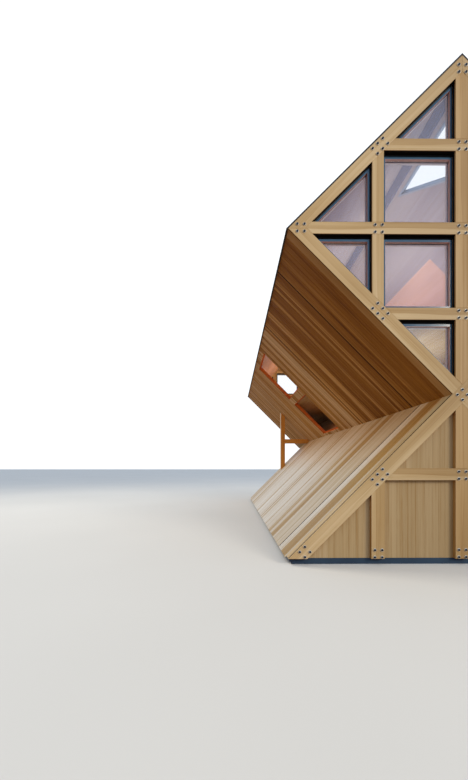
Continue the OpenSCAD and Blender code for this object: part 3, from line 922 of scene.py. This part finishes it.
def shade_strip(start, end, side, front):
    """A folded black strip on the timber beside a window, as deep as from front to the frame, that
    paints the shade in the reveal
    """
    a, b = Vector(start), Vector(end)
    if side < 0:
        a, b = Vector((-end[0], end[1])), Vector((-start[0], start[1]))
    run = b - a
    strip = new_block()
    strip.dimensions = (run.length - STRIP_SHORT, STRIP_BACK - front, STRIP)
    bpy.ops.object.transform_apply(location=False, rotation=False, scale=True)
    edit_faces(strip, lambda normal: normal.y < -0.9)
    bpy.ops.mesh.extrude_region_move(TRANSFORM_OT_translate={"value": STRIP_FOLD})
    bpy.ops.object.mode_set(mode="OBJECT")
    angle = math.atan2(run.y, run.x)
    off = STRIP / 2 + STRIP_FIT
    x, z = (a + b) / 2 + off * Vector((math.sin(angle), -math.cos(angle)))
    strip.location = (x, (front + STRIP_BACK) / 2, BASE + z)
    strip.rotation_euler = (0, -angle, 0)
    bpy.ops.object.transform_apply()
    return strip


# Black strips along the heads and jambs of the window holes: painted shade in the reveals
strips = [shade_strip(a, b, side, HEAD_FRONT) for a, b in WINDOW_HEADS for side in (-1, 1)]
strips += [shade_strip(a, b, side, JAMB_FRONT) for a, b in WINDOW_JAMBS for side in (-1, 1)]
front_shade_strips = joined(strips, "front_window_shade_strips")
back_shade_strips = own_copy(front_shade_strips)
back_shade_strips.name = "back_window_shade_strips"
front_shade_strips.data.transform(Matrix.Translation((0, FRONT, 0)))
turned_round = Matrix.Rotation(math.pi, 4, "Z")
back_shade_strips.data.transform(Matrix.Translation((0, BACK, 0)) @ turned_round)
for shade_strips in (front_shade_strips, back_shade_strips):
    shade_strips.data.materials.append(shade_black)
    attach(shade_strips, "root")


PAINTED_REFLECTION_HEIGHTS = (3.0, 8.5)


def glass_with_painted_reflection(name, low, high, veil):
    """Clear glass with a faint colour of its own, shown more with a higher veil, that turns from
    low to high up the gable as a painted reflection of the sky
    """
    material, tree, shader = surface(name)
    place = own_place(tree)
    height = between(tree, part_of(tree, place, "Z"), *PAINTED_REFLECTION_HEIGHTS)
    cloud = noise(tree, place, (0.7, 0.7, 0.7), 1.0)
    share = plus(tree, times(tree, height, 0.6), times(tree, cloud, 0.6))
    colour = ramp(tree, between(tree, share, 0.2, 0.9), [(0.0, low), (1.0, high)])
    feed(tree, shader, {"Base Color": colour, "Alpha": veil, "Roughness": 0.03,
                        "Specular IOR Level": 0.8})
    return material


# Lilac low down and pale blue high up: a painted reflection of the sky
LILAC, PALE_BLUE = srgb(176, 160, 206), srgb(156, 186, 240)
repaint(glass_with_painted_reflection("gable_glass", LILAC, PALE_BLUE, 0.12), "front_window_glass")
repaint(glass_with_painted_reflection("back_glass", LILAC, PALE_BLUE, 0.05), "back_window_glass")
# The glass in the slopes takes a warm colour, a painted reflection of the warm ground
painted_warm_reflection_glass = glass_with_painted_reflection("painted_warm_reflection_glass", srgb(170, 120, 70), srgb(180, 130, 80), 0.02)
repaint(painted_warm_reflection_glass, "underside_window_glass", "rooflight_glass")


# The upper roof: matt dark sheet with standing seams down the slope and a folded cap along the
# ridge, on framed panels that are lined inside. The rooflight's frame is dark outside and pale
# inside, and the seams above and below it stop at its edges.

SHEET = 0.025
SEAM_GAP = 0.520
SEAM_HEIGHT = 0.025
SEAM_WIDTH = 0.008
VERGE = 0.1
SEAM_TOP, SEAM_FOOT = 0.13, HALF_WIDTH / SLOPE - 0.01
OUTER_RIDGE = BASE + RIDGE + SHEET / SLOPE
# The rooflight's place: its top down the slope, its near end, its length, and how far its lower
# edge drops toward that end
LIGHT_TOP, LIGHT_NEAR, LIGHT_LENGTH, LIGHT_DROP = 0.370, 0.420, 2.020, 1.480

sheet = drifting("roof_sheet", 1.6, (40, 33, 27), (54, 46, 39), (0.42, 0.62), 5.0, shine=0.3)
repaint(sheet, "left_roof_sheet", "right_roof_sheet")

# Inside, the roof is lined with grey-washed boards, and below the collar from the second bay on
# with warmer ones. The lining is painted darker low down and paler high up: painted light.
WASHED_TONES = [(0.0, srgb(180, 168, 166)), (1.0, srgb(196, 184, 180))]
SECOND_BAY = (-3.53, -3.51)
COLLAR_LINE = (1.33, 1.34)
LINING_LIGHT_HEIGHTS = (6.6, 8.2)
LINING_PAINTED_LIGHT = [(0.0, (0.72, 0.64, 0.66)), (1.0, (1.15, 1.15, 1.15))]
WARM = (1.70, 1.28, 1.00, 1)
roof_lining = wood("roof_lining", WASHED_TONES, ALONG, veins=LINING_VEINS)
tree, shader, washed = so_far(roof_lining)
place = own_place(tree)
behind = between(tree, part_of(tree, place, "Y"), *SECOND_BAY)
below = between(tree, unsigned(tree, part_of(tree, place, "X")), *COLLAR_LINE)
# Painted light: the lining is painted darker low down and paler high up, as the lamps inside light
# it
height = between(tree, part_of(tree, place, "Z"), *LINING_LIGHT_HEIGHTS)
washed = tinted(tree, washed, ramp(tree, height, LINING_PAINTED_LIGHT))
colour = mixed(tree, times(tree, behind, below), washed, tinted(tree, washed, WARM))
feed(tree, shader, {"Base Color": colour})
repaint(roof_lining, "left_roof", "right_roof")


def seam_pattern():
    """One standing seam, modelled flat: X down the slope from 0 to 1, with a folded top"""
    seam = new_block(location=(0.5, 0, SEAM_HEIGHT / 2 - 0.001))
    seam.dimensions = (1.0, SEAM_WIDTH, SEAM_HEIGHT + 0.002)
    bpy.ops.object.transform_apply()
    edit_faces(seam, lambda normal: normal.z > 0.9)
    bpy.ops.mesh.bevel(offset=0.002, segments=2)
    bpy.ops.object.mode_set(mode="OBJECT")
    return seam


def on_roof(piece, side):
    """Stands a piece that is flat round the ridge on the left (-1) or right (1) roof"""
    turn = Matrix.Rotation(math.radians(45), 4, "Y")
    if side < 0:
        turn = Matrix.Rotation(math.pi, 4, "Z") @ turn
    piece.data.transform(Matrix.Translation((0, 0, OUTER_RIDGE)) @ turn)
    return piece


seam = seam_pattern()
for side, name in ((-1, "left_roof_seams"), (1, "right_roof_seams")):
    row = []
    seamed = BACK - FRONT - 2 * VERGE
    count = round(seamed / SEAM_GAP)
    for i in range(count + 1):
        y = VERGE + i * seamed / count
        spans = [(SEAM_TOP, SEAM_FOOT)]
        if side > 0 and LIGHT_NEAR - 0.03 < y < LIGHT_NEAR + LIGHT_LENGTH + 0.03:
            lower_edge = LIGHT_TOP + LIGHT_DROP * (1 - (y - LIGHT_NEAR) / LIGHT_LENGTH)
            spans = [(SEAM_TOP, LIGHT_TOP - 0.04), (max(lower_edge, LIGHT_TOP) + 0.06, SEAM_FOOT)]
        for start, end in spans:
            strip = own_copy(seam)
            across = FRONT + y if side > 0 else -FRONT - y
            for vertex in strip.data.vertices:
                x, wide, z = vertex.co
                vertex.co = (start + x * (end - start), across + wide, z)
            row.append(on_roof(strip, side))
    seams = joined(row, name)
    seams.data.materials.append(sheet)
    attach(seams, "root")
bpy.data.objects.remove(seam)

CAP_WIDTH = 0.16
CAP_SHEET = 0.003
CAP_FOLD = (0.006, 0, -0.016)
flaps = []
for side in (-1, 1):
    flap = new_block()
    for vertex in flap.data.vertices:
        # The flaps meet in a mitre over the ridge and lie on the seams
        rise = SEAM_HEIGHT + (CAP_SHEET if vertex.co.z > 0 else 0.0)
        run = CAP_WIDTH if vertex.co.x > 0 else -rise
        vertex.co = (run, vertex.co.y * (BACK - FRONT - 2 * VERGE), rise)
    edit_faces(flap, lambda normal: normal.x > 0.9)
    bpy.ops.mesh.extrude_region_move(TRANSFORM_OT_translate={"value": CAP_FOLD})
    bpy.ops.object.mode_set(mode="OBJECT")
    flaps.append(on_roof(flap, side))
ridge_cap = joined(flaps, "ridge_cap")
ridge_cap.data.materials.append(sheet)
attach(ridge_cap, "root")

light_paint = drifting("rooflight_paint", 4, (168, 174, 184), (182, 188, 196), (0.4, 0.55), 3.0)
tree, shader, pale = so_far(light_paint)
inputs = {0: own_place(tree), 1: (1, 0, 1)}
height = add_node(tree, "VectorMath", inputs, operation="DOT_PRODUCT").outputs["Value"]
outside = between(tree, height, OUTER_RIDGE - 0.01, OUTER_RIDGE)
feed(tree, shader, {"Base Color": mixed(tree, outside, pale, srgb(46, 50, 54))})
repaint(light_paint, "rooflight_frame")


# The long beams at the waist and under the ridge, the floors, the window frames in the slopes,
# and the small timber frames between the slopes: softwood with the grain along each piece.

FLOOR_TONES = [(0.0, srgb(160, 128, 88)), (1.0, srgb(180, 150, 112))]
# The porch frames: orange brown on faces that look forward and back, a painted shade, and pale on
# faces that look sideways, a painted light
PORCH_SHADE_TONES = [(0.0, srgb(206, 134, 50)), (1.0, srgb(218, 150, 66))]
PORCH_LIGHT_SIDE_TONES = [(0.0, srgb(206, 182, 148)), (1.0, srgb(218, 196, 164))]
RIDGE_TONES = [(0.0, srgb(142, 138, 148)), (1.0, srgb(156, 152, 162))]
wood_along = wood("wood_along", DULL_TIMBER, ALONG, knots=0.05)
floor_wood = wood("floor_wood", FLOOR_TONES, ALONG, rough=0.45)
porch_wood_painted_shade = wood("porch_wood_painted_shade", PORCH_SHADE_TONES, UP)
porch_wood_painted_light = wood("porch_wood_painted_light", PORCH_LIGHT_SIDE_TONES, UP)
ridge_wood = wood("ridge_wood", RIDGE_TONES, ALONG, veins=LINING_VEINS)
planed("waist_beam", wood_along, ALONG, 0.006)
planed("ridge_beam", ridge_wood, ALONG, 0.006)
for node in ("porch_posts", "porch_bars"):
    timber = planed(node, porch_wood_painted_shade, UP)
    # The faces that look sideways take the pale wood: painted light
    timber.data.materials.append(porch_wood_painted_light)
    for polygon in timber.data.polygons:
        polygon.material_index = int(abs(polygon.normal.x) > 0.5)
repaint(floor_wood, "ground_floor", "upper_floor")
repaint(wood_reveal, "underside_window_frames")


# The plinth: a slab of fair-faced grey concrete, cast in a smooth form that leaves small pores
# in its faces, and set back under the foot of the boards.

PORES = 38.0
PORE_SHADE = (0.03, 0.04, 0.05, 1)
concrete = drifting("concrete", 2.2, (30, 50, 72), (43, 67, 90), 0.85, 6.0)
tree, shader, colour = so_far(concrete)
place = own_place(tree)
pores = add_node(tree, "TexVoronoi", {"Vector": place, "Scale": PORES}).outputs["Distance"]
pores = between(tree, pores, 0.06, 0.14)
colour = mixed(tree, pores, PORE_SHADE, colour)
relief = plus(tree, times(tree, noise(tree, place, (140, 140, 140), 3.0), 0.3), pores)
bump = add_node(tree, "Bump", {"Height": relief, "Strength": 0.5, "Distance": 0.003}).outputs[0]
feed(tree, shader, {"Base Color": colour, "Normal": bump})
repaint(concrete, "plinth")


# The studio: a plain pale floor, soft light all round, warm lamps at the front right and high on
# the left, four soft lamps in the upper storey, and a camera at standing eye height before the
# left corner, with a wide lens.

bpy.ops.mesh.primitive_plane_add(size=400, location=(0, 0, 0))
ground = bpy.context.object
ground.name = "studio_floor"
floor_paint, tree, shader = surface("studio_floor")
path = add_node(tree, "LightPath")
cloud = noise(tree, own_place(tree), (0.2, 0.2, 0.2))
pale = ramp(tree, cloud, [(0.3, (0.60, 0.60, 0.60)), (0.7, (0.63, 0.63, 0.63))])
BOUNCE = (0.24, 0.14, 0.07, 1)
colour = mixed(tree, path.outputs["Is Camera Ray"], BOUNCE, pale)
feed(tree, shader, {"Base Color": colour, "Roughness": 0.9})
ground.data.materials.append(floor_paint)

world = bpy.data.worlds.new("studio")
bpy.context.scene.world = world
world.use_nodes = True
tree = world.node_tree
tree.nodes.clear()
path = add_node(tree, "LightPath")
seen = {0: path.outputs["Is Camera Ray"], 1: path.outputs["Is Transmission Ray"]}
seen = add_node(tree, "Math", seen, operation="MAXIMUM").outputs[0]


def surround(colour, strength):
    inputs = {"Color": colour, "Strength": strength}
    return add_node(tree, "Background", inputs).outputs[0]


def either(share, otherwise, then):
    return add_node(tree, "MixShader", {0: share, 1: otherwise, 2: then}).outputs[0]


ambient = surround((0.88, 0.94, 1.0, 1), 0.80)
mirrored = surround((0.42, 0.66, 1.0, 1), 1.1)
backdrop = surround((0.92, 0.96, 1.0, 1), 1.2)
choice = either(path.outputs["Is Glossy Ray"], ambient, mirrored)
add_node(tree, "OutputWorld", {"Surface": either(seen, choice, backdrop)})


def lamp(name, place, aim, size, energy, colour):
    """A soft rectangular lamp at a place, turned to the point it aims at"""
    data = bpy.data.lights.new(name, "AREA")
    data.shape = "RECTANGLE"
    data.size, data.size_y = size
    data.energy = energy
    data.color = colour
    made = bpy.data.objects.new(name, data)
    bpy.context.collection.objects.link(made)
    made.location = place
    made.rotation_euler = (Vector(aim) - made.location).to_track_quat("-Z", "Y").to_euler()


lamp("key", (19.0, -25.0, 15.0), (0.0, -5.0, 4.0), (9.0, 8.0), 5400, (1.0, 0.90, 0.74))
lamp("high_left", (-14.0, 2.0, 17.0), (-1.5, 1.0, 1.5), (9.0, 10.0), 1900, (1.0, 0.88, 0.68))
lamp("room_front", (0.0, -3.0, 4.60), (0.0, -3.0, 8.0), (1.6, 3.0), 120, (0.80, 0.90, 1.0))
lamp("room_low", (0.0, -4.6, 3.15), (0.0, -4.6, 8.0), (0.3, 2.4), 42, (0.66, 0.88, 1.0))
lamp("room_low_back", (0.1, 1.2, 3.2), (0.1, 1.2, 8.0), (0.3, 1.6), 3.5, (1.0, 0.42, 0.12))
lamp("room_back", (0.0, 3.6, 4.60), (0.0, 3.9, 8.0), (1.6, 2.4), 80, (1.0, 0.71, 0.38))

eye_data = bpy.data.cameras.new("eye")
eye_data.sensor_width = 36.0
eye_data.lens = 14.446
eye_data.shift_y = 0.0984
eye = bpy.data.objects.new("eye", eye_data)
bpy.context.collection.objects.link(eye)
eye.location = (-3.965, -11.85, 1.687)
eye.rotation_euler = (math.radians(90), 0, math.radians(-0.43))
bpy.context.scene.camera = eye

bpy.context.scene.view_settings.view_transform = "Standard"
